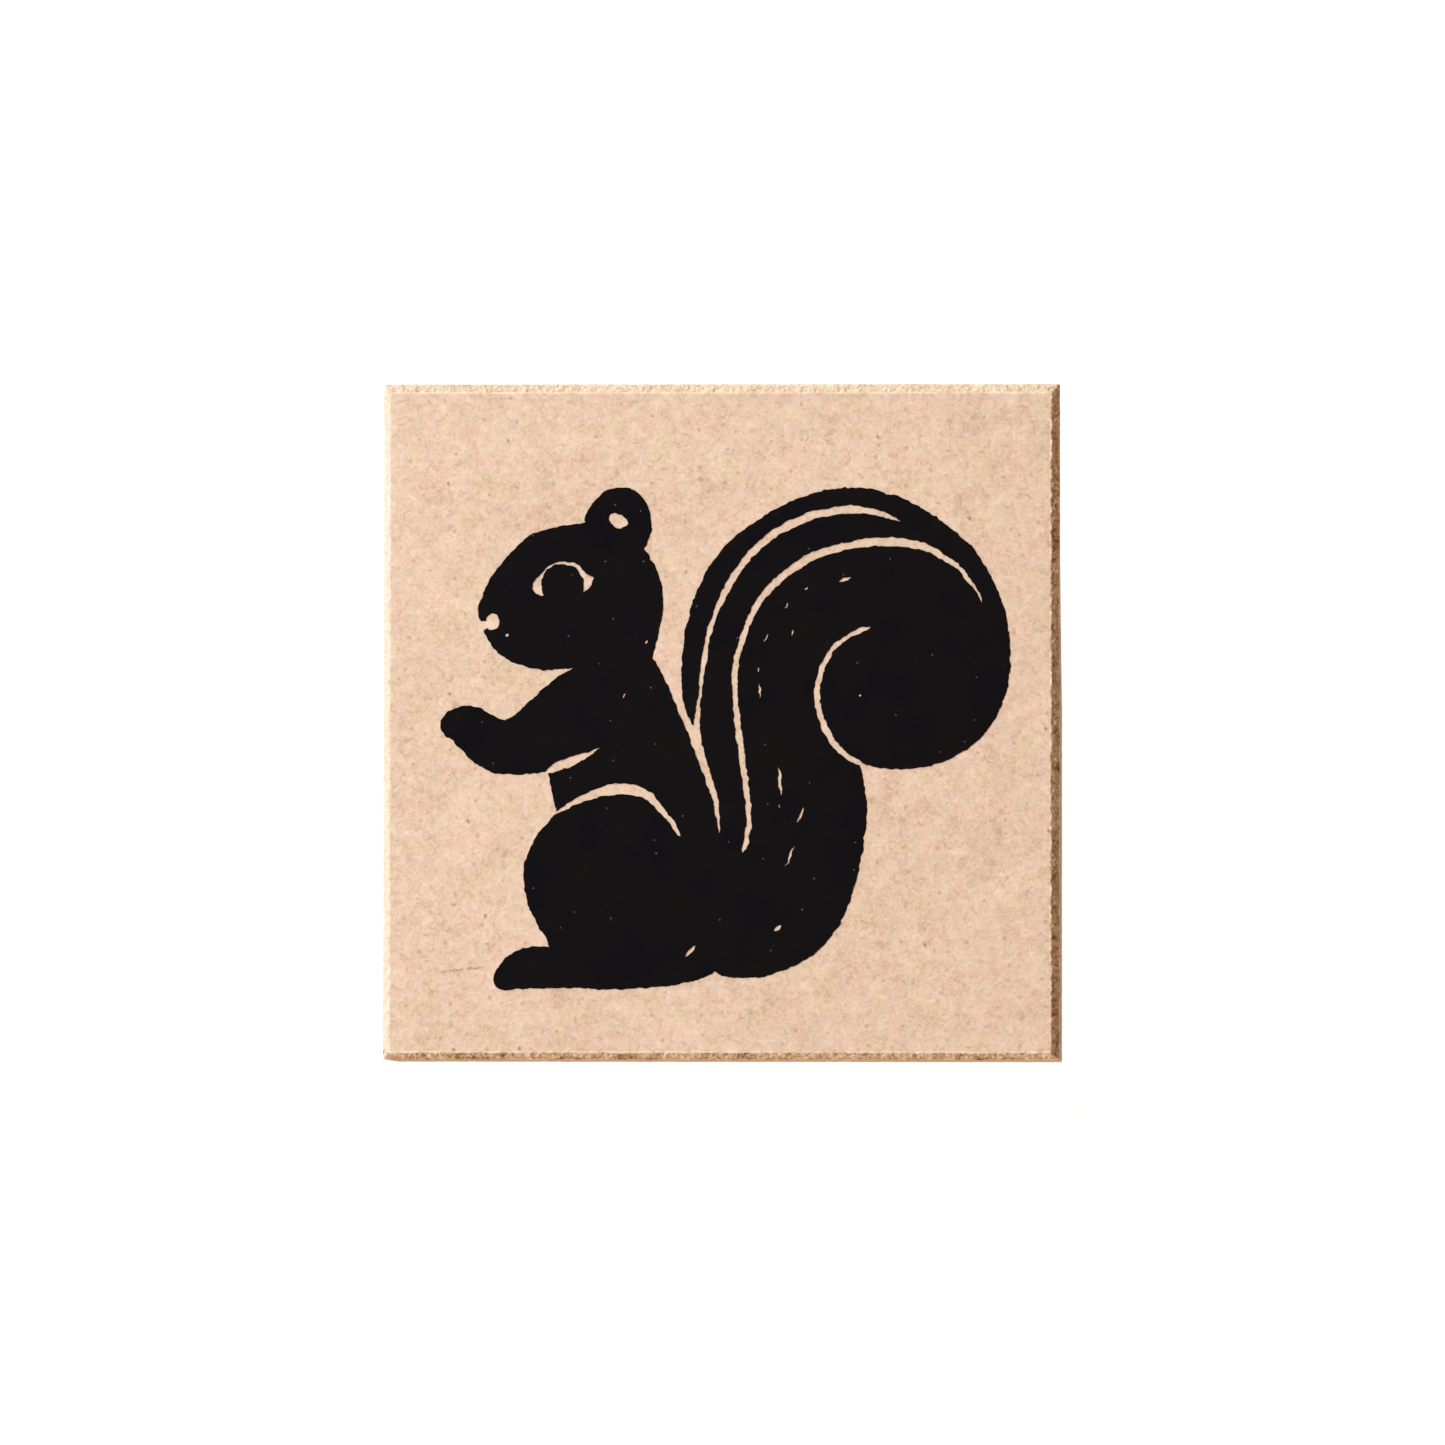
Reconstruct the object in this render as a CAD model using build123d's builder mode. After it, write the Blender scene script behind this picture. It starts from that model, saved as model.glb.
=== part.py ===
from build123d import *
import os

# A rubber stamp with a square wooden handle block. Millimetres, Z up, +Y towards the top of the
# motif. The stamp stands on its printing face at Z = 0, and X = Y = 0 is the middle of the block.
# From the paper upwards: rubber die, adhesive tape, foam cushion, adhesive tape, MDF block, and a
# film of ink on top of the block that shows what the die prints.

# Driving dimensions
BLOCK_SIDE = 50.0
BLOCK_HEIGHT = 18.0
TOP_CHAMFER = 0.65
BOTTOM_ARRIS = 0.3
RELIEF_HEIGHT = 1.2
DIE_BASE = 1.1
TAPE = 0.12
CUSHION = 3.0
INK_FILM = 0.03

# Levels
BASE_BOTTOM = RELIEF_HEIGHT
BASE_TOP = BASE_BOTTOM + DIE_BASE
CUSHION_BOTTOM = BASE_TOP + TAPE
CUSHION_TOP = CUSHION_BOTTOM + CUSHION
BLOCK_BOTTOM = CUSHION_TOP + TAPE
BLOCK_TOP = BLOCK_BOTTOM + BLOCK_HEIGHT

# Corners of the squirrel's outline, where two of its curves meet
EAR_FRONT = (-10.04, 14.72)
EAR_BACK = (-5.77, 12.86)
MOUTH_TOP = (-17.70, 7.44)
MOUTH_BOTTOM = (-17.53, 6.86)
NECK_FRONT = (-10.95, 4.08)
PAW = (-19.90, -1.25)
ELBOW = (-12.80, -3.55)
BELLY = (-12.10, -6.70)
HEEL = (-12.60, -16.60)
TOE = (-15.10, -19.70)
TAIL_ROOT = (-0.54, -18.45)
CURL_START = (10.15, -3.00)
CURL_SIDE = (21.30, 4.60)
TAIL_TOP = (9.60, 17.32)
TAIL_TIP = (-2.20, -0.12)
CLEFT = (-1.80, -0.45)
BACK_FOOT = (-1.65, -3.00)
NECK_BACK = (-5.06, 4.75)


def groove(*stations):
    """Carve a line out of the sketch. A station is (x, y, width), with width 0 at both ends."""
    left = []
    right = []
    for here, (x, y, width) in enumerate(stations):
        before = stations[max(here - 1, 0)]
        after = stations[min(here + 1, len(stations) - 1)]
        side = Vector(before[1] - after[1], after[0] - before[0]).normalized() * (width / 2)
        left.append(Vector(x, y) + side)
        right.append(Vector(x, y) - side)
    with BuildLine() as edges:
        Spline(*left)
        Spline(*right)
    make_face(edges.edges(), mode=Mode.SUBTRACT)


def nick(x, y, length, width, angle):
    """Carve one short chisel mark, pointed at both ends, centred on (x, y)."""
    half = Vector(length / 2, 0).rotate(Axis.Z, angle)
    groove(
        (x - half.X, y - half.Y, 0),
        (x, y, width),
        (x + half.X, y + half.Y, 0),
    )


def silhouette():
    """Fill the outline of a sitting squirrel that faces -X, with its tail curled up behind it."""
    with BuildLine() as outline:
        Spline(
            EAR_FRONT, (-11.60, 14.49), (-13.18, 14.15), (-14.36, 13.60), (-15.78, 12.22),
            (-17.15, 10.40), (-17.83, 8.85), (-17.94, 7.98), MOUTH_TOP,
        )
        Line(MOUTH_TOP, MOUTH_BOTTOM)
        Spline(
            MOUTH_BOTTOM, (-17.22, 6.00), (-16.60, 5.24), (-15.36, 4.42), (-14.07, 3.98),
            (-12.59, 3.86), NECK_FRONT,
        )
        Spline(
            NECK_FRONT, (-12.98, 2.59), (-14.16, 1.51), (-15.15, 0.62), (-16.20, 0.15),
            (-17.13, 0.67), (-18.51, 1.19), (-19.90, 0.90), (-20.71, 0.02), (-20.45, -0.95), PAW,
        )
        Spline(PAW, (-19.01, -2.25), (-17.13, -3.63), (-15.15, -3.91), ELBOW)
        Spline(ELBOW, (-12.53, -4.92), BELLY)
        Spline(
            BELLY, (-13.47, -8.28), (-14.32, -9.75), (-14.56, -11.19), (-14.08, -13.83),
            (-13.00, -15.87), HEEL,
        )
        Spline(
            HEEL, (-13.66, -16.59), (-14.86, -16.77), (-16.42, -18.03), (-16.82, -18.90),
            (-16.50, -19.60), (-15.82, -19.81), TOE,
        )
        Spline(TOE, (-9.90, -19.69), (-4.77, -19.58), (-1.95, -19.07), TAIL_ROOT)
        Spline(
            TAIL_ROOT, (0.64, -18.81), (2.63, -18.85), (4.62, -18.31), (6.90, -17.10),
            (8.90, -14.60), (10.26, -10.52), (10.70, -7.40), (10.43, -3.95), CURL_START,
        )
        Spline(CURL_START, (13.60, -3.50), (16.75, -2.80), (19.65, -0.60), (21.05, 2.20), CURL_SIDE)
        Spline(
            CURL_SIDE, (20.92, 8.20), (20.05, 10.45), (18.75, 12.60), (16.20, 14.90),
            (13.10, 16.62), TAIL_TOP,
        )
        Spline(
            TAIL_TOP, (6.10, 16.66), (2.90, 15.05), (0.70, 13.40), (-0.81, 11.62),
            (-1.97, 9.25), (-2.60, 6.90), (-2.90, 4.50), (-2.90, 2.40), TAIL_TIP,
        )
        Line(TAIL_TIP, CLEFT)
        Line(CLEFT, BACK_FOOT)
        Spline(BACK_FOOT, (-2.05, -1.95), (-2.42, -0.95), (-3.17, 0.78), (-3.95, 2.68), NECK_BACK)
        Spline(NECK_BACK, (-4.67, 6.40), (-4.33, 8.06), (-4.33, 9.72), (-4.83, 11.38), EAR_BACK)
        Spline(EAR_BACK, (-5.15, 15.04), (-5.96, 16.72), (-7.20, 17.37), (-8.87, 16.82), EAR_FRONT)
    make_face(outline.edges())


def face_details():
    """Carve the ear, the mouth and the almond of the eye, and leave the pupil standing."""
    with Locations((-7.60, 14.89)):
        Ellipse(0.74, 0.51, rotation=-30, mode=Mode.SUBTRACT)
    with Locations((-16.84, 7.42)):
        Ellipse(0.46, 0.60, mode=Mode.SUBTRACT)
    groove((-18.70, 7.16, 0), (-17.50, 7.18, 0.54), (-16.60, 7.30, 0))
    with BuildLine() as almond:
        Spline(
            (-13.94, 9.90), (-13.18, 11.15), (-11.75, 11.88), (-10.95, 11.73), (-10.13, 11.14),
            (-9.40, 10.60),
        )
        Spline((-9.40, 10.60), (-9.77, 9.95), (-10.35, 9.50))
        Line((-10.35, 9.50), (-13.20, 9.37))
        Spline((-13.20, 9.37), (-13.66, 9.46), (-13.94, 9.90))
    make_face(almond.edges(), mode=Mode.SUBTRACT)
    with Locations((-11.74, 10.09)):
        Circle(1.61)


def body_lines():
    """Carve the line under the arm and the line over the haunch."""
    groove(
        (-13.20, -3.75, 0), (-12.16, -3.37, 0.64), (-10.66, -2.77, 0.59), (-9.00, -1.90, 0),
    )
    groove(
        (-12.80, -7.15, 0), (-11.85, -6.55, 0.19), (-10.85, -5.98, 0.40), (-9.80, -5.47, 0.53),
        (-8.63, -5.10, 0.67), (-7.40, -4.95, 0.77), (-6.25, -5.10, 0.72), (-5.16, -5.64, 0.57),
        (-4.40, -6.47, 0.46), (-3.66, -7.40, 0.33), (-3.15, -8.25, 0.22),
        (-2.96, -8.52, 0),
    )


def tail_lines():
    """Carve the line between back and tail, the two long stripes and the curl."""
    groove(
        (-0.16, -8.16, 0), (-0.16, -7.86, 0.17), (-0.22, -7.23, 0.24), (-0.44, -5.76, 0.43),
        (-0.93, -4.28, 0.50),
        (-1.40, -2.80, 0.57), (-1.76, -1.33, 0.67), (-1.74, 0.40, 0.36), (-1.50, 3.00, 0.31),
        (-1.16, 5.20, 0.34), (-0.62, 7.50, 0.38), (0.34, 9.75, 0.47), (1.90, 12.05, 0.53),
        (3.84, 13.87, 0.57), (6.20, 15.05, 0.57), (7.90, 15.53, 0.53), (9.40, 15.70, 0.51),
        (10.80, 15.57, 0.46), (12.10, 15.27, 0.36), (13.28, 14.76, 0),
    )
    groove(
        (1.54, -9.72, 0), (1.64, -9.42, 0.23), (1.90, -8.60, 0.35), (2.06, -7.30, 0.40),
        (1.92, -5.40, 0.43),
        (1.70, -3.69, 0.47), (1.40, -1.62, 0.47), (1.12, 0.60, 0.45), (1.02, 3.00, 0.42),
        (1.25, 5.02, 0.40), (1.72, 6.60, 0.40), (2.30, 8.00, 0.43), (3.17, 9.40, 0.52),
        (4.35, 10.60, 0.55), (5.83, 11.70, 0.57), (7.80, 12.62, 0.57), (9.52, 13.04, 0.57),
        (11.00, 13.24, 0.59), (12.50, 13.30, 0.61), (13.80, 13.20, 0.57), (15.13, 12.84, 0.50),
        (16.46, 12.16, 0.40), (17.64, 11.25, 0.33), (18.52, 10.15, 0.26), (19.30, 8.70, 0),
    )
    groove(
        (11.02, 7.06, 0), (10.70, 6.93, 0.22), (9.55, 6.42, 0.30), (8.49, 5.65, 0.36), (7.75, 4.62, 0.38),
        (7.28, 3.39, 0.40), (7.08, 2.10, 0.42), (7.20, 0.90, 0.42), (7.58, -0.25, 0.44),
        (8.20, -1.44, 0.44), (9.07, -2.31, 0.42), (10.02, -2.92, 0.34), (11.20, -3.60, 0),
    )


def tool_marks():
    """Carve the few short marks that a lino cutter leaves along the tail and the haunch."""
    for x, y, length, width, angle in (
        (9.12, 10.52, 1.00, 0.26, 16),
        (6.26, 9.85, 0.34, 0.12, 30),
        (4.83, 8.66, 0.62, 0.13, 60),
        (5.23, 6.57, 0.52, 0.10, 82),
        (3.30, 6.25, 0.68, 0.12, 62),
        (2.80, 3.86, 0.38, 0.11, 80),
        (2.84, 2.30, 1.15, 0.14, 91),
        (10.20, 1.97, 0.26, 0.17, 10),
        (4.34, -4.35, 2.30, 0.24, 95),
        (4.31, -6.20, 0.36, 0.08, 85),
        (5.85, -6.87, 1.32, 0.19, 64),
        (5.12, -9.87, 1.84, 0.15, 62),
        (4.20, -15.20, 0.70, 0.26, 40),
        (-2.25, -16.95, 1.05, 0.28, 48),
        (-5.51, 5.85, 0.26, 0.13, 60),
        (-7.15, 1.95, 0.50, 0.11, 55),
        (-15.84, 6.40, 0.30, 0.18, 50),
    ):
        nick(x, y, length, width, angle)


with BuildSketch() as motif:
    silhouette()
    face_details()
    body_lines()
    tail_lines()
    tool_marks()

# The outline that die, tapes and cushion are trimmed to, about 2 mm outside the motif
with BuildSketch() as trim:
    with BuildLine():
        Spline(
            (-7.3, 19.3), (-3.9, 17.2), (-2.6, 14.6), (0.3, 15.6), (3.5, 17.9), (8.9, 19.2),
            (13.5, 18.5), (18.2, 15.6), (21.6, 11.4), (23.1, 6.0), (22.4, 0.9), (20.0, -3.0),
            (16.6, -5.2), (13.2, -6.6), (12.3, -10.0), (10.8, -15.2), (8.4, -18.6), (4.8, -20.4),
            (-3.5, -21.4), (-10.0, -21.5), (-16.0, -21.6), (-18.4, -19.9), (-17.9, -17.2),
            (-16.4, -14.8), (-16.3, -11.5), (-16.0, -8.0), (-17.5, -5.5), (-20.6, -3.4),
            (-22.5, -0.9), (-21.9, 1.6), (-20.2, 3.9), (-19.7, 6.6), (-19.6, 9.2),
            (-18.2, 12.4), (-15.0, 15.4), (-11.2, 17.6),
            periodic=True,
        )
    make_face()

# Handle block: plain MDF with broken edges
with BuildPart() as mount_block:
    with BuildSketch(Plane.XY.offset(BLOCK_BOTTOM)):
        Rectangle(BLOCK_SIDE, BLOCK_SIDE)
    extrude(amount=BLOCK_HEIGHT)
    chamfer(mount_block.edges().group_by(Axis.Z)[-1], TOP_CHAMFER)
    chamfer(mount_block.edges().group_by(Axis.Z)[0], BOTTOM_ARRIS)
mount_block.part.label = "mount_block"

# Index print: the motif in ink on the block's top face
with BuildPart() as index_print:
    with BuildSketch(Plane.XY.offset(BLOCK_TOP)):
        add(motif.sketch)
    extrude(amount=INK_FILM)
index_print.part.label = "index_print"

# Tape between block and cushion
with BuildPart() as block_adhesive:
    with BuildSketch(Plane.XY.offset(CUSHION_TOP)):
        add(trim.sketch)
    extrude(amount=TAPE)
block_adhesive.part.label = "block_adhesive"

# Foam cushion, which lets the die follow uneven paper
with BuildPart() as foam_cushion:
    with BuildSketch(Plane.XY.offset(CUSHION_BOTTOM)):
        add(trim.sketch)
    extrude(amount=CUSHION)
foam_cushion.part.label = "foam_cushion"

# Tape between cushion and die
with BuildPart() as die_adhesive:
    with BuildSketch(Plane.XY.offset(BASE_TOP)):
        add(trim.sketch)
    extrude(amount=TAPE)
die_adhesive.part.label = "die_adhesive"

# Rubber die: a base sheet with the motif standing down from it as a relief
with BuildPart() as rubber_die:
    with BuildSketch(Plane.XY.offset(BASE_BOTTOM)):
        add(trim.sketch)
    extrude(amount=DIE_BASE)
    with BuildSketch():
        add(motif.sketch)
    extrude(amount=RELIEF_HEIGHT)
rubber_die.part.label = "rubber_die"

os.makedirs("parts", exist_ok=True)
export_step(mount_block.part, "parts/mount_block.step")
export_step(index_print.part, "parts/index_print.step")
export_step(block_adhesive.part, "parts/block_adhesive.step")
export_step(foam_cushion.part, "parts/foam_cushion.step")
export_step(die_adhesive.part, "parts/die_adhesive.step")
export_step(rubber_die.part, "parts/rubber_die.step")
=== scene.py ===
import math
from functools import cached_property

import bmesh
import bpy
import numpy as np
from mathutils import Matrix, Vector, noise
from mathutils.geometry import delaunay_2d_cdt
from mathutils.kdtree import KDTree


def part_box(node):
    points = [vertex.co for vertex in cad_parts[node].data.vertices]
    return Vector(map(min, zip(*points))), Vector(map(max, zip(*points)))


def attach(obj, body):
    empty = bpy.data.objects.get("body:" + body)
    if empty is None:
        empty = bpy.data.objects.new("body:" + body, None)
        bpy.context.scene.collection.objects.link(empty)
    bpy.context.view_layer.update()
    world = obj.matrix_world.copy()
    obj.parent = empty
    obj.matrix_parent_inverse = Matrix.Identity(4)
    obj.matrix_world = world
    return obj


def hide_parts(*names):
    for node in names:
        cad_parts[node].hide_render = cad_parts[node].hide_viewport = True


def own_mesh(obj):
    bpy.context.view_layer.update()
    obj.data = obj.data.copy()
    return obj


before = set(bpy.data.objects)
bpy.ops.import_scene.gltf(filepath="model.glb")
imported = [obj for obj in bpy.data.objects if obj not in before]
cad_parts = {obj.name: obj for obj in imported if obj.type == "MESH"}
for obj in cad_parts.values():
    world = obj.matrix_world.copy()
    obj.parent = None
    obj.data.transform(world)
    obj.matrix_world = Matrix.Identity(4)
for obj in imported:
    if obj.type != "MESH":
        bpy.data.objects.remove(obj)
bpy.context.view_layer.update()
# Without a seed, noise_vector starts from the clock and the outlines differ from run to run.
noise.seed_set(1)

# A rubber stamp, seen from straight above: an MDF block with a squirrel printed on it in black,
# over a foam cushion and a rubber die. Outlines and levels below are in millimetres.
MM = 0.001


def levels_of(node):
    """Lowest and highest Z of a CAD node, in millimetres."""
    low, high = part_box(node)
    return low.z / MM, high.z / MM


BLOCK_BOTTOM, BLOCK_TOP = levels_of("mount_block")
INK_TOP = levels_of("index_print")[1]
FOAM_BOTTOM, FOAM_TOP = levels_of("foam_cushion")
DIE_BOTTOM, DIE_TOP = levels_of("rubber_die")
HALF_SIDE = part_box("mount_block")[1].x / MM


# ---------------------------------------------------------------- outlines

def outline_loops(node):
    """Closed outlines of a CAD node's top face as arrays of (x, y), the outer one first."""
    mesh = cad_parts[node].data
    top = levels_of(node)[1]
    points = [tuple(round(c / MM, 5) for c in v.co) for v in mesh.vertices]
    directed = set()
    for face in mesh.polygons:
        corners = [points[i] for i in face.vertices]
        if all(abs(c[2] - top) < 1e-4 for c in corners):
            directed.update(zip(corners, corners[1:] + corners[:1]))
    following = {a: b for a, b in directed if (b, a) not in directed}
    loops = []
    while following:
        start, here = following.popitem()
        loop = [start]
        while here != start:
            loop.append(here)
            here = following.pop(here)
        loops.append(np.array(loop)[:, :2])
    return sorted(loops, key=lambda loop: -np.ptp(loop[:, 0]))


def divide(loop, step):
    """The same outline with points at most step apart."""
    dense = []
    for a, b in zip(loop, np.roll(loop, -1, axis=0)):
        count = max(1, math.ceil(np.linalg.norm(b - a) / step))
        dense.extend(a + (b - a) * k / count for k in range(count))
    return np.array(dense)


def outward(loop):
    """Unit normals to the right of a loop, which is away from the solid, in holes too."""
    along = np.roll(loop, -1, axis=0) - np.roll(loop, 1, axis=0)
    normals = np.stack([along[:, 1], -along[:, 0]], axis=1)
    return normals / np.linalg.norm(normals, axis=1, keepdims=True)


def wobble(loop, waves):
    """Shift points by smooth noise that keeps lines apart. Waves are pairs of height and length."""
    shift = [
        sum((h * noise.noise_vector(Vector((x, y, h)) / length) for h, length in waves), Vector())
        for x, y in loop
    ]
    return loop + np.array(shift)[:, :2]


def triangulate(loops, extra=()):
    """Points and triangles that cover the loops and the extra points."""
    points = [Vector(p) for loop in loops for p in loop] + [Vector(p) for p in extra]
    edges = []
    for loop in loops:
        first = len(edges)
        edges += [(first + k, first + (k + 1) % len(loop)) for k in range(len(loop))]
    result = delaunay_2d_cdt(points, edges, [], 0, 1e-5, False)
    return np.array(result[0]), result[2]


def enclosed(points, triangles, loops):
    """For each triangle, whether its middle is inside an odd number of the loops."""
    x, y = points[np.array(triangles)].mean(axis=1).T
    odd = np.zeros(len(x), bool)
    for loop in loops:
        for (ax, ay), (bx, by) in zip(loop, np.roll(loop, -1, axis=0)):
            if ay != by:
                odd ^= ((ay > y) != (by > y)) & (x < ax + (bx - ax) * (y - ay) / (by - ay))
    return odd


# ---------------------------------------------------------------- meshes

def rim(triangles):
    """Edges that only one triangle uses, in that triangle's direction."""
    edges = {edge for t in triangles for edge in zip(t, t[1:] + t[:1])}
    return [edge for edge in edges if edge[::-1] not in edges]


def at_level(points, z):
    """Points (x, y) lifted to a level, given as one number or one for each point."""
    return np.column_stack([points, np.broadcast_to(z, len(points))])


def wall(rings):
    """Quads between rings of points that all have the same length."""
    count = len(rings[0])
    faces = []
    for ring in range(len(rings) - 1):
        for k in range(count):
            a = ring * count + k
            b = ring * count + (k + 1) % count
            faces.append((a, b, b + count, a + count))
    return np.concatenate(rings), faces


def cap(ring):
    """Triangles that close a ring of points, at the ring's own level."""
    outline = ring[:, :2]
    points, triangles = triangulate([outline])
    inside = enclosed(points, triangles, [outline])
    return at_level(points, ring[0, 2]), [t for t, kept in zip(triangles, inside) if kept]


def fan(ring):
    """Triangles from the middle of a ring of points to each of its edges, at the ring's level."""
    count = len(ring)
    points = np.concatenate([ring, [[0, 0, ring[0, 2]]]])
    return points, [(k, (k + 1) % count, count) for k in range(count)]


def piece(name, patches, materials, body, replaced, crease=35):
    """A closed mesh from patches of (points, faces, material index), joined where they meet."""
    shape = bmesh.new()
    for points, faces, index in patches:
        corners = [shape.verts.new(Vector(p) * MM) for p in points]
        for face in faces:
            shape.faces.new([corners[i] for i in face]).material_index = index
    bmesh.ops.remove_doubles(shape, verts=shape.verts, dist=0.0005 * MM)
    bmesh.ops.dissolve_degenerate(shape, edges=shape.edges, dist=0.0005 * MM)
    loose = [v for v in shape.verts if not v.link_faces]
    bmesh.ops.delete(shape, geom=loose, context="VERTS")
    bmesh.ops.recalc_face_normals(shape, faces=shape.faces)
    mesh = bpy.data.meshes.new(name)
    shape.to_mesh(mesh)
    shape.free()
    for material in materials:
        mesh.materials.append(material)
    mesh.shade_smooth()
    mesh.set_sharp_from_angle(angle=math.radians(crease))
    made = bpy.data.objects.new(name, mesh)
    bpy.context.scene.collection.objects.link(made)
    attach(made, body)
    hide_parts(replaced)
    return made


# ---------------------------------------------------------------- materials

class Shader:
    """A material, and short calls that wire its nodes. Sizes are in millimetres."""

    def __init__(self, name, roughness, specular):
        self.material = bpy.data.materials.new(name)
        self.material.use_nodes = True
        self.tree = self.material.node_tree
        self.surface = self.tree.nodes["Principled BSDF"]
        self.surface.inputs["Roughness"].default_value = roughness
        self.surface.inputs["Specular IOR Level"].default_value = specular
        self.place = self.tree.nodes.new("ShaderNodeTexCoord").outputs["Object"]

    @cached_property
    def frayed(self):
        """The place shifted by fine noise, which makes the outlines of specks ragged."""
        fray = self.node("ShaderNodeTexNoise", {"Vector": self.place, "Scale": 4 / MM, "Detail": 1.0})
        return self.node(
            "ShaderNodeVectorMath", {0: fray.outputs["Color"], 1: (0.15 * MM,) * 3, 2: self.place},
            operation="MULTIPLY_ADD",
        ).outputs[0]

    def node(self, kind, inputs, **settings):
        """A new node with those settings, its inputs joined to sockets or set to values."""
        made = self.tree.nodes.new(kind)
        for key, value in settings.items():
            setattr(made, key, value)
        for key, value in inputs.items():
            if isinstance(value, bpy.types.NodeSocket):
                self.tree.links.new(value, made.inputs[key])
            else:
                made.inputs[key].default_value = value
        return made

    def spot(self, stretch=(1, 1, 1), turn=0, shift=0, frayed=False):
        """Position in millimetres, turned about Z by degrees and then divided by the stretch."""
        turned = self.node(
            "ShaderNodeVectorRotate",
            {"Vector": self.frayed if frayed else self.place, "Angle": math.radians(turn)},
            rotation_type="Z_AXIS",
        ).outputs[0]
        scale = tuple(1 / MM / s for s in stretch)
        return self.node(
            "ShaderNodeMapping", {"Vector": turned, "Scale": scale, "Location": (shift,) * 3}
        ).outputs[0]

    def noise(self, size, detail=2.0, stretch=(1, 1, 1), turn=0, shift=0, warp=0.0):
        """Smooth noise about 0.5 with lumps of about that size, made stringy by the warp."""
        where = self.spot(stretch, turn, shift)
        inputs = {"Vector": where, "Scale": 1 / size, "Detail": detail, "Roughness": 0.6}
        inputs["Distortion"] = warp
        return self.node("ShaderNodeTexNoise", inputs).outputs[0]

    def calc(self, operation, *values):
        """The result of a math operation on sockets and numbers."""
        return self.node("ShaderNodeMath", dict(enumerate(values)), operation=operation).outputs[0]

    def weigh(self, start, *parts):
        """start plus each noise, centred on zero, times its weight."""
        total = start - sum(weight for _, weight in parts) / 2
        for value, weight in parts:
            total = self.calc("MULTIPLY_ADD", value, weight, total)
        return total

    def between(self, value, low, high, smooth=True):
        """0 below low, 1 above high; with low above high it falls instead of rising."""
        return self.node(
            "ShaderNodeMapRange",
            {"Value": value, "From Min": low, "From Max": high},
            interpolation_type="SMOOTHSTEP" if smooth else "LINEAR",
        ).outputs[0]

    def ramp(self, value, *stops):
        """A colour ramp over the value, with stops that are pairs of position and colour."""
        made = self.node("ShaderNodeValToRGB", {"Fac": value})
        elements = made.color_ramp.elements
        while len(elements) < len(stops):
            elements.new(0.5)
        for element, (position, color) in zip(elements, stops):
            element.position = position
            element.color = (*color, 1)
        return made.outputs[0]

    def mix(self, factor, a, b, blend="MIX"):
        """Colour a blended towards colour b by the factor."""
        color_a = a if isinstance(a, bpy.types.NodeSocket) else (*a, 1)
        color_b = b if isinstance(b, bpy.types.NodeSocket) else (*b, 1)
        inputs = {0: factor, 6: color_a, 7: color_b}
        made = self.node("ShaderNodeMix", inputs, data_type="RGBA", blend_type=blend)
        return made.outputs[2]

    def specks(self, cell, radius, share, shift=0, stretch=(1, 1, 1), turn=0, flat=True):
        """A mask of soft ragged specks in a share of the cells, which are columns if flat."""
        where = self.spot(stretch, turn, shift, frayed=True)
        cells = self.node(
            "ShaderNodeTexVoronoi", {"Vector": where, "Scale": 1 / cell},
            voronoi_dimensions="2D" if flat else "3D",
        )
        spot = self.between(cells.outputs["Distance"], radius / cell, 0.2 * radius / cell)
        chance = self.node("ShaderNodeSeparateColor", {0: cells.outputs["Color"]}).outputs[0]
        return self.calc("MULTIPLY", spot, self.calc("LESS_THAN", chance, share))

    def finish(self, color, bump=None, height=0.01, strength=1.0, roughness=None):
        """Join colour, bump (height in millimetres) and roughness to the surface."""
        self.tree.links.new(color, self.surface.inputs["Base Color"])
        if bump is not None:
            inputs = {"Strength": strength, "Distance": height * MM, "Height": bump}
            normal = self.node("ShaderNodeBump", inputs).outputs[0]
            self.tree.links.new(normal, self.surface.inputs["Normal"])
        if roughness is not None:
            self.tree.links.new(roughness, self.surface.inputs["Roughness"])
        return self.material


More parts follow.
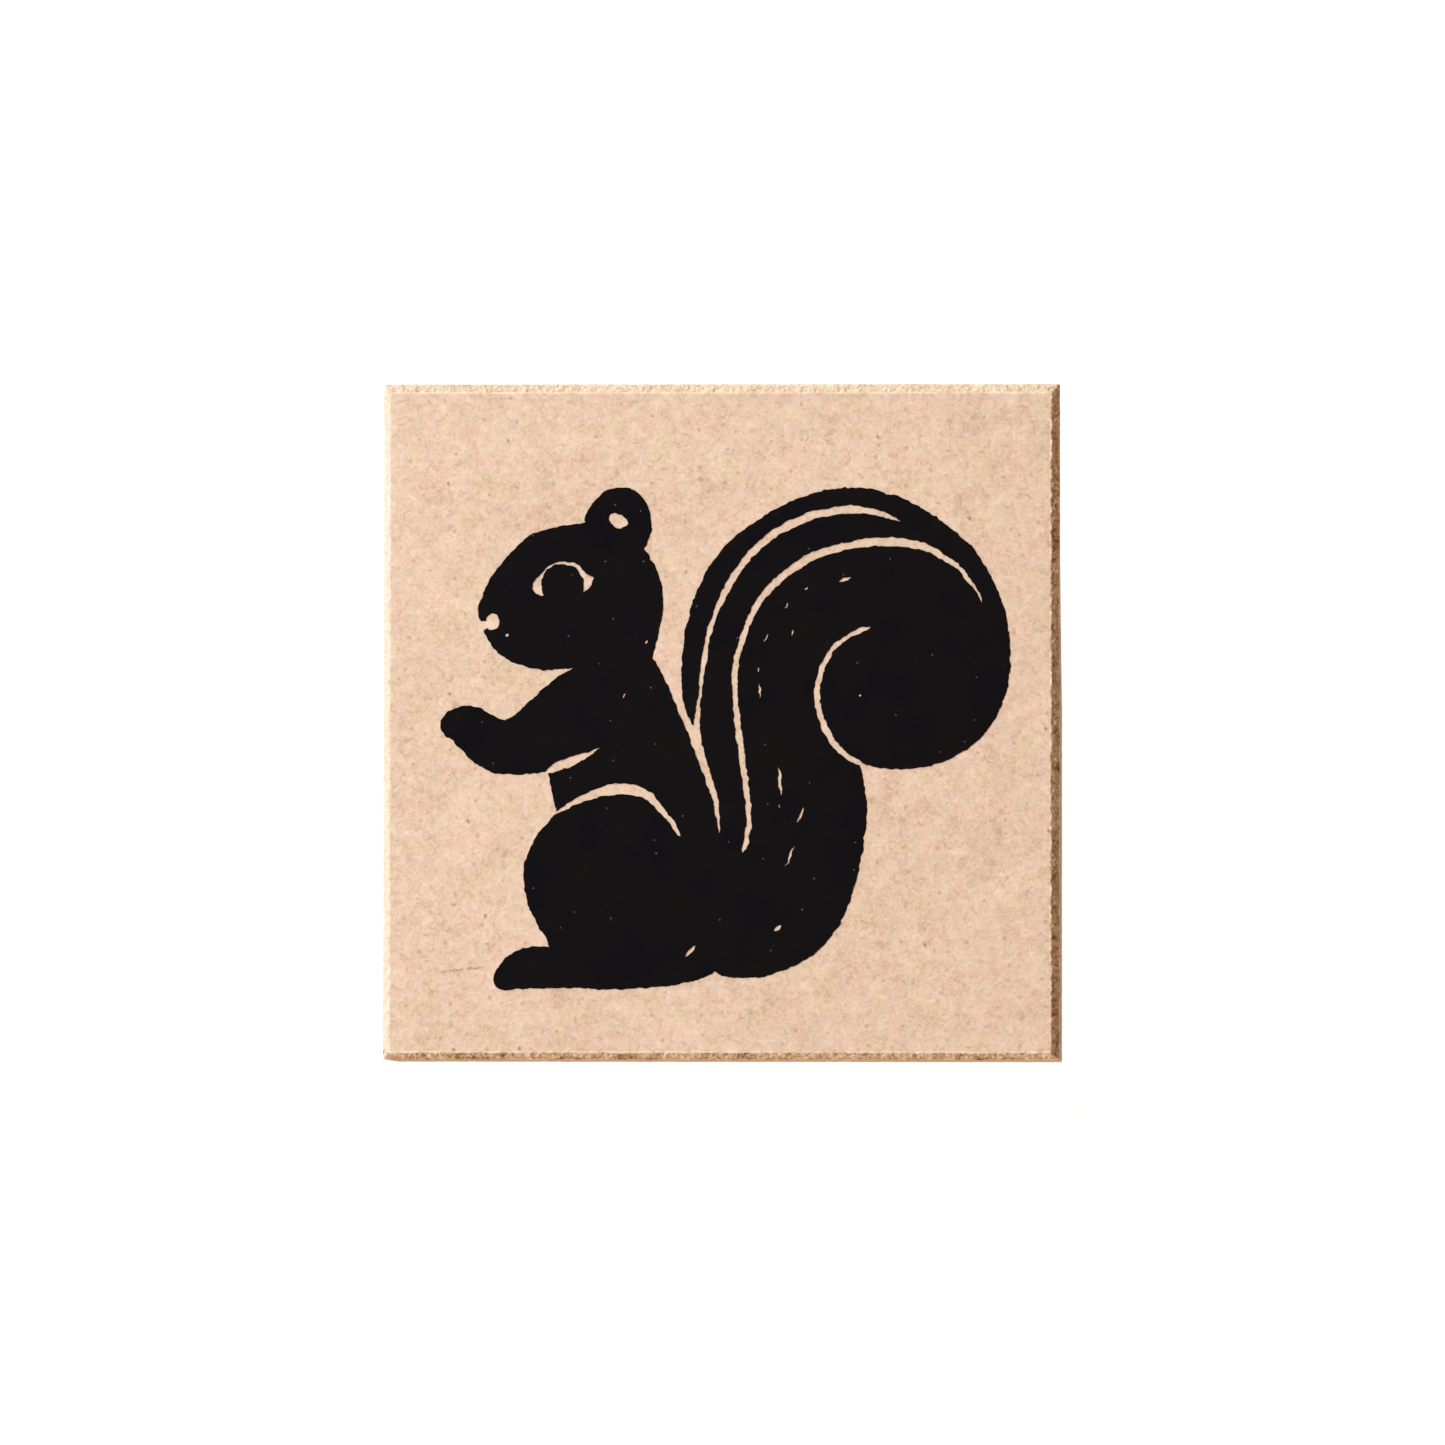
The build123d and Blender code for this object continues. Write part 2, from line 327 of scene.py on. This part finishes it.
def mdf_face(name, highlight_lift):
    """Sanded face of MDF, lighter by the lift, which paints a highlight where it is raised for the top
    arris: felted fibres, pink and yellow clouds, bark.
    """
    s = Shader(name, 0.80, 0.22)
    blotch = s.noise(0.52, 3.0, warp=0.9)
    grain = s.noise(0.20, 2.0, shift=7)
    clump = s.noise(1.7, 2.0, shift=13, warp=0.6)
    cloud = s.noise(8.0, 2.0, shift=3)
    tone = s.weigh(0.5 + highlight_lift, (blotch, 1.00), (grain, 0.52), (clump, 0.56), (cloud, 0.16))
    for turn in (12, 57, 101, 148):
        fibre = s.specks(0.90, 0.065, 0.26, shift=turn, stretch=(6, 1, 1), turn=turn)
        tone = s.calc("MULTIPLY_ADD", fibre, 0.19, tone)
    color = s.ramp(
        tone,
        (0.05, (0.500, 0.330, 0.220)),
        (0.32, (0.672, 0.472, 0.340)),
        (0.50, (0.752, 0.543, 0.402)),
        (0.68, (0.806, 0.600, 0.455)),
        (0.95, (0.900, 0.720, 0.580)),
    )
    warm = s.noise(2.4, 1.5, shift=51)
    color = s.mix(s.between(warm, 0.50, 0.68), color, (1.03, 0.975, 0.990), "MULTIPLY")
    color = s.mix(s.between(warm, 0.50, 0.32), color, (0.985, 1.003, 0.940), "MULTIPLY")
    smudge = s.between(s.noise(0.50, 1.0, shift=71, warp=0.8), 0.60, 0.78)
    color = s.mix(s.calc("MULTIPLY", smudge, 0.42), color, (0.460, 0.275, 0.170))
    for cell, radius, share, strength in ((1.5, 0.15, 0.35, 0.38), (2.6, 0.22, 0.5, 0.50)):
        speck = s.specks(cell, radius, share, shift=cell)
        color = s.mix(s.calc("MULTIPLY", speck, strength), color, (0.420, 0.240, 0.140))
    bark = s.specks(5.6, 0.17, 0.45, shift=9, stretch=(1.4, 1, 1), turn=60)
    color = s.mix(s.calc("MULTIPLY", bark, 0.66), color, (0.225, 0.115, 0.060))
    color = s.mix(s.calc("MULTIPLY", toe_streak(s), 0.66), color, (0.42, 0.24, 0.15))
    bump = s.weigh(0.5, (blotch, 0.6), (grain, 0.6))
    return s.finish(color, bump, height=0.012)


def toe_streak(s):
    """A mask for one long brown fibre in the face, to the left of the squirrel's toe."""
    middle, half, slope = (-19.1, -18.29), 1.8, 0.128
    x, y = s.node("ShaderNodeSeparateXYZ", {0: s.spot()}).outputs[:2]
    drift = s.calc("MULTIPLY", s.noise(1.0, 2.0, shift=90), 0.5)
    across = s.calc("SUBTRACT", y, middle[1] - 0.25 - slope * middle[0])
    across = s.calc("SUBTRACT", across, s.calc("MULTIPLY_ADD", x, slope, drift))
    along = s.calc("ABSOLUTE", s.calc("SUBTRACT", x, middle[0]))
    line = s.between(s.calc("ABSOLUTE", across), 0.16, 0.03)
    ends = s.between(along, half, 0.7 * half)
    return s.calc("MULTIPLY", line, s.calc("MULTIPLY", ends, s.between(s.noise(0.5), 0.30, 0.52)))


def mdf_cut_with_painted_light_and_shade():
    """Cut edge of MDF: brown fibres and pits, closer and darker towards both faces of the board.

    Its chamfers carry painted shade on the right and front, which face away from the key light:
    stronger mottling, red and olive patches and more dark flecks. The left chamfer, which faces the key
    light, carries painted light: weaker mottling and a bluer tint.
    """
    s = Shader("mdf_cut_with_painted_light_and_shade", 0.88, 0.16)
    x, y, z = s.node("ShaderNodeSeparateXYZ", {0: s.spot()}).outputs
    below = s.between(z, BLOCK_TOP - 0.8, BLOCK_TOP - 1.6)
    near_top = s.calc("SUBTRACT", 1.0, below)
    side = HALF_SIDE - 1.1, HALF_SIDE - 0.7
    # Painted shade: the right and front chamfers, which face away from the key light, get stronger
    # mottling, red and olive patches and more dark flecks.
    painted_shade_sides = s.between(s.calc("MAXIMUM", x, s.calc("MULTIPLY", y, -1.0)), *side)
    painted_shade_sides = s.calc("MULTIPLY", painted_shade_sides, near_top)
    # Painted light: the left chamfer, which faces the key light, gets weaker mottling and a bluer tint.
    painted_light_side = s.between(s.calc("MULTIPLY", x, -1.0), *side)
    painted_light_side = s.calc("MULTIPLY", painted_light_side, near_top)
    off_centre = s.calc("ABSOLUTE", s.calc("SUBTRACT", z, (BLOCK_TOP + BLOCK_BOTTOM) / 2))
    core = s.between(s.calc("MULTIPLY_ADD", s.noise(1.2, 2.0, shift=29), 2.4, off_centre), 8.6, 5.6)
    fibre = s.noise(0.45, 1.5, warp=0.5)
    pit = s.noise(0.22, 1.0, shift=17)
    layer = s.noise(0.60, 3.0, stretch=(7, 7, 1), shift=23)
    clump = s.noise(1.3, 2.0, shift=41)
    strokes = s.noise(0.30, 2.0, stretch=(1, 1, 22), shift=61)
    parts = (fibre, 0.42), (pit, 0.34), (layer, 0.16), (clump, 0.26), (strokes, 0.06)
    contrast = s.calc("MULTIPLY_ADD", near_top, -0.3, 1.3)
    contrast = s.calc("MULTIPLY_ADD", core, 0.5, contrast)
    # Painted light and shade: weaker mottling on the lit left chamfer, much stronger mottling on the
    # shaded right and front chamfers.
    contrast = s.calc("MULTIPLY_ADD", painted_light_side, -0.55, contrast)
    contrast = s.calc("MULTIPLY_ADD", painted_shade_sides, 1.9, contrast)
    level = s.calc("MULTIPLY_ADD", s.calc("SUBTRACT", core, 1.0), 0.07, 0.5)
    level = s.calc("MULTIPLY_ADD", near_top, 0.07, level)
    tone = s.calc("MULTIPLY_ADD", s.weigh(0.0, *parts), contrast, level)
    color = s.ramp(
        tone,
        (0.04, (0.270, 0.125, 0.065)),
        (0.30, (0.520, 0.330, 0.195)),
        (0.50, (0.695, 0.505, 0.345)),
        (0.70, (0.800, 0.610, 0.425)),
        (0.96, (0.920, 0.760, 0.530)),
    )
    color = s.mix(below, color, (0.89, 0.89, 0.91), "MULTIPLY")
    # Painted light: the lit left chamfer is tinted bluer, as if bleached by the bright key light.
    color = s.mix(painted_light_side, color, (1.0, 0.99, 1.10), "MULTIPLY")
    hue = s.noise(1.6, 2.0, shift=77)
    # Red and olive patches: hue variation in the fibres, but only on the shaded right and front
    # chamfers, so also painted shade.
    redness = s.calc("MULTIPLY", painted_shade_sides, s.between(hue, 0.50, 0.62))
    color = s.mix(redness, color, (1.05, 0.95, 0.97), "MULTIPLY")
    olive = s.calc("MULTIPLY", painted_shade_sides, s.between(hue, 0.50, 0.38))
    color = s.mix(olive, color, (0.98, 1.01, 0.90), "MULTIPLY")
    fleck = s.specks(0.7, 0.18, 0.5, shift=5, flat=False)
    # Painted shade: more dark flecks on the shaded right and front chamfers.
    fleck = s.calc("MULTIPLY", fleck, s.calc("MULTIPLY_ADD", painted_shade_sides, 0.25, 0.30))
    color = s.mix(fleck, color, (0.20, 0.10, 0.055))
    bump = s.weigh(0.0, (fibre, 1.0), (pit, 0.6), (strokes, 0.06))
    bump = s.calc("MULTIPLY", bump, s.calc("MULTIPLY_ADD", near_top, 0.68, 0.32))
    return s.finish(color, bump, height=0.13)


def black_ink():
    """Matt stamping ink, almost black, with pinholes where the board shows through."""
    s = Shader("black_ink", 0.75, 0.03)
    film = s.noise(4.0, 3.0)
    color = s.ramp(film, (0.32, (0.0050, 0.0042, 0.0058)), (0.68, (0.0078, 0.0058, 0.0060)))
    for cell, radius, share, strength in ((3.0, 0.085, 0.45, 0.20), (1.3, 0.06, 0.30, 0.035)):
        pin = s.specks(cell, radius, share, shift=cell)
        color = s.mix(s.calc("MULTIPLY", pin, strength), color, (0.52, 0.47, 0.44))
    return s.finish(color, s.noise(0.25, 2.0, shift=8), height=0.006)


def cushion_material():
    """Closed-cell foam, warm white, with fine cells on its cut sides."""
    s = Shader("foam_cells", 0.90, 0.20)
    cells = s.node("ShaderNodeTexVoronoi", {"Vector": s.spot(), "Scale": 1 / 0.26})
    cell = s.between(cells.outputs["Distance"], 0.15, 0.75, smooth=False)
    cloud = s.noise(2.2, 2.0, shift=4)
    tone = s.weigh(0.5, (cell, 0.34), (cloud, 0.28), (s.noise(0.12, 2.0), 0.35))
    color = s.ramp(
        tone,
        (0.15, (0.34, 0.33, 0.31)),
        (0.50, (0.60, 0.59, 0.56)),
        (0.85, (0.76, 0.75, 0.72)),
    )
    return s.finish(color, cell, height=0.06)


def rubber_material():
    """Moulded red rubber with a dull sheen, some bloom, and a little ink left on the relief."""
    s = Shader("red_rubber", 0.48, 0.38)
    cloud = s.noise(3.0, 3.0)
    dust = s.noise(0.25, 2.0, shift=12)
    tone = s.weigh(0.5, (cloud, 0.55), (dust, 0.35))
    color = s.ramp(
        tone,
        (0.20, (0.245, 0.040, 0.025)),
        (0.50, (0.330, 0.062, 0.040)),
        (0.80, (0.420, 0.105, 0.075)),
    )
    level = s.node("ShaderNodeSeparateXYZ", {0: s.place}).outputs["Z"]
    on_relief = s.between(level, 0.10 * MM, 0.02 * MM)
    stain = s.calc("MULTIPLY", on_relief, s.between(s.noise(2.6, 4.0, shift=33), 0.36, 0.66))
    color = s.mix(s.calc("MULTIPLY", stain, 0.45), color, (0.060, 0.022, 0.020))
    rough = s.weigh(0.50, (cloud, 0.25), (dust, 0.20))
    return s.finish(color, dust, height=0.008, roughness=rough)


def tape_material():
    """Milky double-sided tape: a clear film with cloudy glue."""
    s = Shader("milky_tape", 0.35, 0.45)
    cloud = s.noise(1.2, 3.0)
    color = s.ramp(cloud, (0.30, (0.58, 0.56, 0.50)), (0.70, (0.76, 0.75, 0.70)))
    return s.finish(color, s.noise(0.4, 2.0, shift=3), height=0.01)


# ---------------------------------------------------------------- mount block

SIDE_POINTS = 470
CORNER_POINTS = 7
WALL_RINGS = 22
# How far the saw bowed the left side in, and how far the right side leans in at the bottom.
BOW = 0.03
LEAN = 0.17
# Size of the bevel at the bottom edge, and how far the flat underside lies inside the sides.
ARRIS = 0.30
UNDERSIDE_INSET = 0.40
# For the right, back, left and front side: how far it lies inside the CAD's, and its chamfer's width.
SET_BACK = np.array([0.01, 0.01, 0.01, 0.09])
CHAMFER = np.array([0.62, 0.60, 0.42, 0.49])
# Radii of the corners right back, left back, left front and right front.
CORNERS = np.array([0.16, 0.30, 0.22, 0.12])
# Points down the profile of the top edge: part of the chamfer's width, inset past it, drop, nap.
TOP_EDGE = (
    (0.00, 0.00, 0.900, 0.5),
    (0.02, 0.00, 0.740, 0.7),
    (0.06, 0.00, 0.600, 1.0),
    (0.13, 0.00, 0.490, 1.0),
    (0.23, 0.00, 0.405, 1.0),
    (0.36, 0.00, 0.330, 1.0),
    (0.50, 0.00, 0.260, 1.0),
    (0.64, 0.00, 0.195, 1.0),
    (0.78, 0.00, 0.130, 1.0),
    (0.90, 0.00, 0.075, 0.9),
    (1.00, 0.00, 0.026, 1.2),
    (1.00, 0.07, 0.010, 0.3),
    (1.00, 0.15, 0.004, 0.2),
    (1.00, 0.26, 0.001, 0.1),
    (1.00, 0.42, 0.000, 0.0),
)


def square_ring(insets, roundness, z):
    """A ring round the block at that inset from each side, with part of the corners' radii."""
    right, back, left, front = HALF_SIDE - np.asarray(insets)
    tips = ((right, back), (-left, back), (-left, -front), (right, -front))
    arcs = []
    for turn, (tip, radius) in enumerate(zip(tips, CORNERS * roundness)):
        bend = np.linspace(turn, turn + 1, CORNER_POINTS) * math.pi / 2
        arc = np.column_stack([np.cos(bend), np.sin(bend)]) - np.sign(tip)
        arcs.append(np.array(tip) + radius * arc)
    along = np.linspace(0, 1, SIDE_POINTS, endpoint=False)[1:, None]
    ring = []
    for here, following in zip(arcs, arcs[1:] + arcs[:1]):
        ring += [here, here[-1] + (following[0] - here[-1]) * along]
    return at_level(np.concatenate(ring), z)


def saw(ring):
    """The saw's errors: a left side that bows in, and a right side cut out of square at the back.

    Nothing is left outside the square that the block is cut to.
    """
    x, y, z = ring.T
    height = (z - BLOCK_BOTTOM) / (BLOCK_TOP - BLOCK_BOTTOM)
    bow = BOW * np.clip((-x - 24.55) / 0.4, 0, 1)
    bow *= (1 - np.clip(-y / 23, 0, 1) ** 2) * np.clip((23.2 - y) / 0.8, 0, 1)
    lean = LEAN * (1 - height) * np.clip((y - 1) / 13, 0, 1) * np.clip((x - 21) / 3, 0, 1)
    plan = np.column_stack([x + bow - lean, y])
    return at_level(np.clip(plan, -HALF_SIDE, HALF_SIDE), z)


def nap(ring, tilt, waves):
    """Raise and lower a ring's points by noise, along normals that tilt up by that angle."""
    side = outward(ring[:, :2])
    normals = np.column_stack([side * math.cos(tilt), np.full(len(side), math.sin(tilt))])
    shift = [sum(h * noise.noise(Vector(p) / length) for h, length in waves) for p in ring]
    return saw(ring + normals * np.array(shift)[:, None])


def mount_block():
    """MDF block: flat faces, faintly uneven sides, and sanded chamfers with a nap."""
    rings = [saw(square_ring(SET_BACK + UNDERSIDE_INSET, 1, BLOCK_BOTTOM))]
    for part in (0.0, 0.5, 1.0):
        ring = square_ring(SET_BACK + ARRIS * (1 - part), 1, BLOCK_BOTTOM + ARRIS * part)
        rings.append(nap(ring, 0, [(0.02, 0.5)]))
    heights = np.linspace(BLOCK_BOTTOM + ARRIS, BLOCK_TOP - TOP_EDGE[0][2], WALL_RINGS + 2)
    for z in heights[1:-1]:
        rings.append(nap(square_ring(SET_BACK, 1, z), 0, [(0.020, 2.2), (0.012, 0.5)]))
    sides = len(rings)
    for part, past, drop, rough in TOP_EDGE:
        ring = square_ring(SET_BACK + CHAMFER * part + past, 1 - 0.7 * part, BLOCK_TOP - drop)
        waves = [(0.055 * rough, 0.60), (0.050 * rough, 0.24)]
        rings.append(nap(ring, math.pi / 4, waves))
    fuzzy = sides + sum(past == 0 for _, past, _, _ in TOP_EDGE)
    patches = [
        (*wall(rings[:fuzzy]), 1),
        # The rounded arris between chamfer and top face takes material 2, a painted highlight.
        (*wall(rings[fuzzy - 1 : fuzzy + 2]), 2),
        (*wall(rings[fuzzy + 1 :]), 0),
        (*fan(rings[0]), 0),
        (*fan(rings[-1]), 0),
    ]
    # The arris material is the face's pattern lifted lighter by 0.26: a painted highlight along the top
    # edge.
    materials = [mdf_face("mdf_face", 0.0), mdf_cut_with_painted_light_and_shade(), mdf_face("mdf_arris_painted_highlight", 0.26)]
    return piece("mdf_block", patches, materials, "block", "mount_block")


# ---------------------------------------------------------------- index print

INK_EDGE = [(0.10, 0.90), (0.085, 0.36), (0.035, 0.16)]


def index_print():
    """Film of ink with the slightly ragged edge that a hand-cut block prints."""
    loops = [wobble(divide(loop, 0.09), INK_EDGE) for loop in outline_loops("index_print")]
    points, triangles = triangulate(loops)
    inside = [tuple(t) for t, inked in zip(triangles, enclosed(points, triangles, loops)) if inked]
    count = len(points)
    both = np.concatenate([at_level(points, INK_TOP), at_level(points, BLOCK_TOP)])
    faces = list(inside)
    faces += [tuple(i + count for i in reversed(t)) for t in inside]
    faces += [(b, a, a + count, b + count) for a, b in rim(inside)]
    return piece("squirrel_print", [(both, faces, 0)], [black_ink()], "block", "index_print")


# ---------------------------------------------------------------- cushion

FOAM_RINGS = 19
# How far the foam's sides lie inside the outline, draw in further at mid height, and vary by cells.
FOAM_INSET = 0.05
FOAM_DRAW_IN = 0.16
FOAM_CELLS = 0.07


def trim_outline(step):
    """The outline that cushion and die are cut to, with the unsteady line of scissors."""
    return wobble(divide(outline_loops("foam_cushion")[0], step), [(0.20, 6.0), (0.06, 1.5)])


def foam_cushion():
    """Foam sheet cut to the outline: its sides draw in a little and show open cells."""
    outline = trim_outline(0.16)
    normals = outward(outline)
    rings = []
    for part in np.linspace(0, 1, FOAM_RINGS):
        z = FOAM_BOTTOM + (FOAM_TOP - FOAM_BOTTOM) * part
        cells = FOAM_CELLS * np.array([noise.noise(Vector((x, y, z)) / 0.34) for x, y in outline])
        shift = (cells - FOAM_DRAW_IN) * math.sin(math.pi * part) - FOAM_INSET
        rings.append(at_level(outline + normals * shift[:, None], z))
    points, faces = wall(rings)
    patches = [(points, faces, 0), (*cap(rings[0]), 0), (*cap(rings[-1]), 0)]
    foam = piece("cushion_foam", patches, [cushion_material()], "block", "foam_cushion", 60)
    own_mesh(foam)
    return foam


# ---------------------------------------------------------------- die

RELIEF = 1.2
SHOULDER = 0.20
# Distances from the motif at which the die's lower face gets points that follow the fillet.
FILLET_GAPS = (0.06, 0.14, 0.26, 0.44, 0.80)


def relief_level(distance):
    """Level of the die at a distance from the motif: the walls flare into a fillet at the base."""
    return DIE_BOTTOM + RELIEF * (1 - np.exp(-np.asarray(distance) / SHOULDER))


def rubber_die():
    """Moulded die: the motif stands down from a base sheet, on walls that flare at the root."""
    motif = [divide(loop, 0.14) for loop in outline_loops("index_print")]
    border = np.concatenate([divide(loop, 0.03) for loop in motif])
    tree = KDTree(len(border))
    for index, (x, y) in enumerate(border):
        tree.insert((x, y, 0), index)
    tree.balance()

    def distance(points):
        return np.array([tree.find((x, y, 0))[2] for x, y in points])

    slopes = []
    for gap in FILLET_GAPS:
        row = np.concatenate([(loop + outward(loop) * gap)[:: 1 if gap < 0.4 else 3] for loop in motif])
        slopes.append(row[distance(row) > 0.9 * gap])
    outline = trim_outline(0.20)
    points, triangles = triangulate([outline] + motif, np.concatenate(slopes))
    kept = [t for t, cut in zip(triangles, enclosed(points, triangles, [outline])) if cut]
    relief = enclosed(points, triangles, motif)
    raised = {i for t, high in zip(triangles, relief) if high for i in t}
    levels = relief_level(distance(points))
    levels[list(raised)] = DIE_BOTTOM
    bottom = at_level(points, levels)
    edge_levels = relief_level(distance(outline))
    sides = [
        at_level(outline, edge_levels + (DIE_TOP - edge_levels) * part) for part in (0, 0.35, 0.7, 1)
    ]
    side_points, side_faces = wall(sides)
    patches = [(bottom, kept, 0), (side_points, side_faces, 0), (*cap(sides[-1]), 0)]
    return piece("die_rubber", patches, [rubber_material()], "die", "rubber_die", 50)


# ---------------------------------------------------------------- stage

# Radii in metres: the paper's sphere ends just inside the rim of the table top.
TABLE_RADIUS = 2.5
PAPER_RADIUS = 2.45


def backdrop(name, shape, grey, glow):
    """A part of the stage: matt grey paint under a white glow of that strength."""
    material = bpy.data.materials.new(name)
    material.use_nodes = True
    surface = material.node_tree.nodes["Principled BSDF"]
    surface.inputs["Base Color"].default_value = (grey, grey, grey, 1)
    surface.inputs["Roughness"].default_value = 1.0
    surface.inputs["Specular IOR Level"].default_value = 0.0
    surface.inputs["Emission Color"].default_value = (1, 1, 1, 1)
    surface.inputs["Emission Strength"].default_value = glow
    mesh = bpy.data.meshes.new(name)
    shape.to_mesh(mesh)
    shape.free()
    mesh.materials.append(material)
    made = bpy.data.objects.new(name, mesh)
    bpy.context.scene.collection.objects.link(made)
    made.visible_glossy = False
    return made


def stage():
    """A white table top that lights the stamp's sides, and white paper far behind it."""
    disc = bmesh.new()
    bmesh.ops.create_circle(disc, cap_ends=True, segments=64, radius=TABLE_RADIUS)
    backdrop("floor", disc, 0.08, 0.99)
    ball = bmesh.new()
    bmesh.ops.create_uvsphere(ball, u_segments=96, v_segments=48, radius=PAPER_RADIUS)
    paper = backdrop("paper", ball, 0.0, 1.0)
    paper.visible_diffuse = False
    paper.visible_shadow = False


def area_light(name, direction, distance, size, watts, color):
    """A square lamp in that direction from the stamp, turned towards it."""
    lamp = bpy.data.lights.new(name, "AREA")
    lamp.size = size
    lamp.energy = watts
    lamp.color = color
    made = bpy.data.objects.new(name, lamp)
    made.location = Vector(direction).normalized() * distance
    made.rotation_euler = Vector(direction).to_track_quat("Z", "Y").to_euler()
    bpy.context.scene.collection.objects.link(made)


def lights():
    """A soft key from the upper left, weak fills from the front and back, and a warm room."""
    area_light("key", (-0.741, 0.300, 0.602), 1.1, 0.34, 18.8, (0.760, 0.905, 1.0))
    area_light("front_fill", (-0.15, -0.95, 0.25), 1.2, 0.5, 4.5, (1.0, 0.77, 0.54))
    area_light("back_fill", (-0.15, 0.95, 0.25), 1.2, 0.5, 5.4, (0.82, 0.94, 1.0))
    world = bpy.data.worlds.new("room")
    world.use_nodes = True
    world.node_tree.nodes["Background"].inputs[0].default_value = (0.249, 0.107, 0.012, 1)
    bpy.context.scene.world = world


def camera():
    """Long lens straight above the block, a little towards its lower right corner."""
    sensor = 36.0
    distance = 1000.0
    frame_width = 106.6
    data = bpy.data.cameras.new("camera")
    data.sensor_width = sensor
    data.clip_end = 10
    made = bpy.data.objects.new("camera", data)
    target = Vector((0.11, -0.04, BLOCK_TOP))
    back = Vector((34, -34, distance))
    data.lens = sensor * back.length / frame_width
    right = Vector((1, 0, 0)).cross(back).cross(back).normalized() * -1
    up = back.normalized().cross(right)
    made.location = (target + back) * MM
    made.rotation_euler = Matrix((right, up, back.normalized())).transposed().to_euler()
    bpy.context.scene.collection.objects.link(made)
    bpy.context.scene.camera = made
    bpy.context.scene.view_settings.view_transform = "Standard"


camera()
lights()
stage()
mount_block()
index_print()
foam_cushion()
rubber_die()
tape = tape_material()
for node in ("block_adhesive", "die_adhesive"):
    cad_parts[node].data.materials.clear()
    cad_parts[node].data.materials.append(tape)
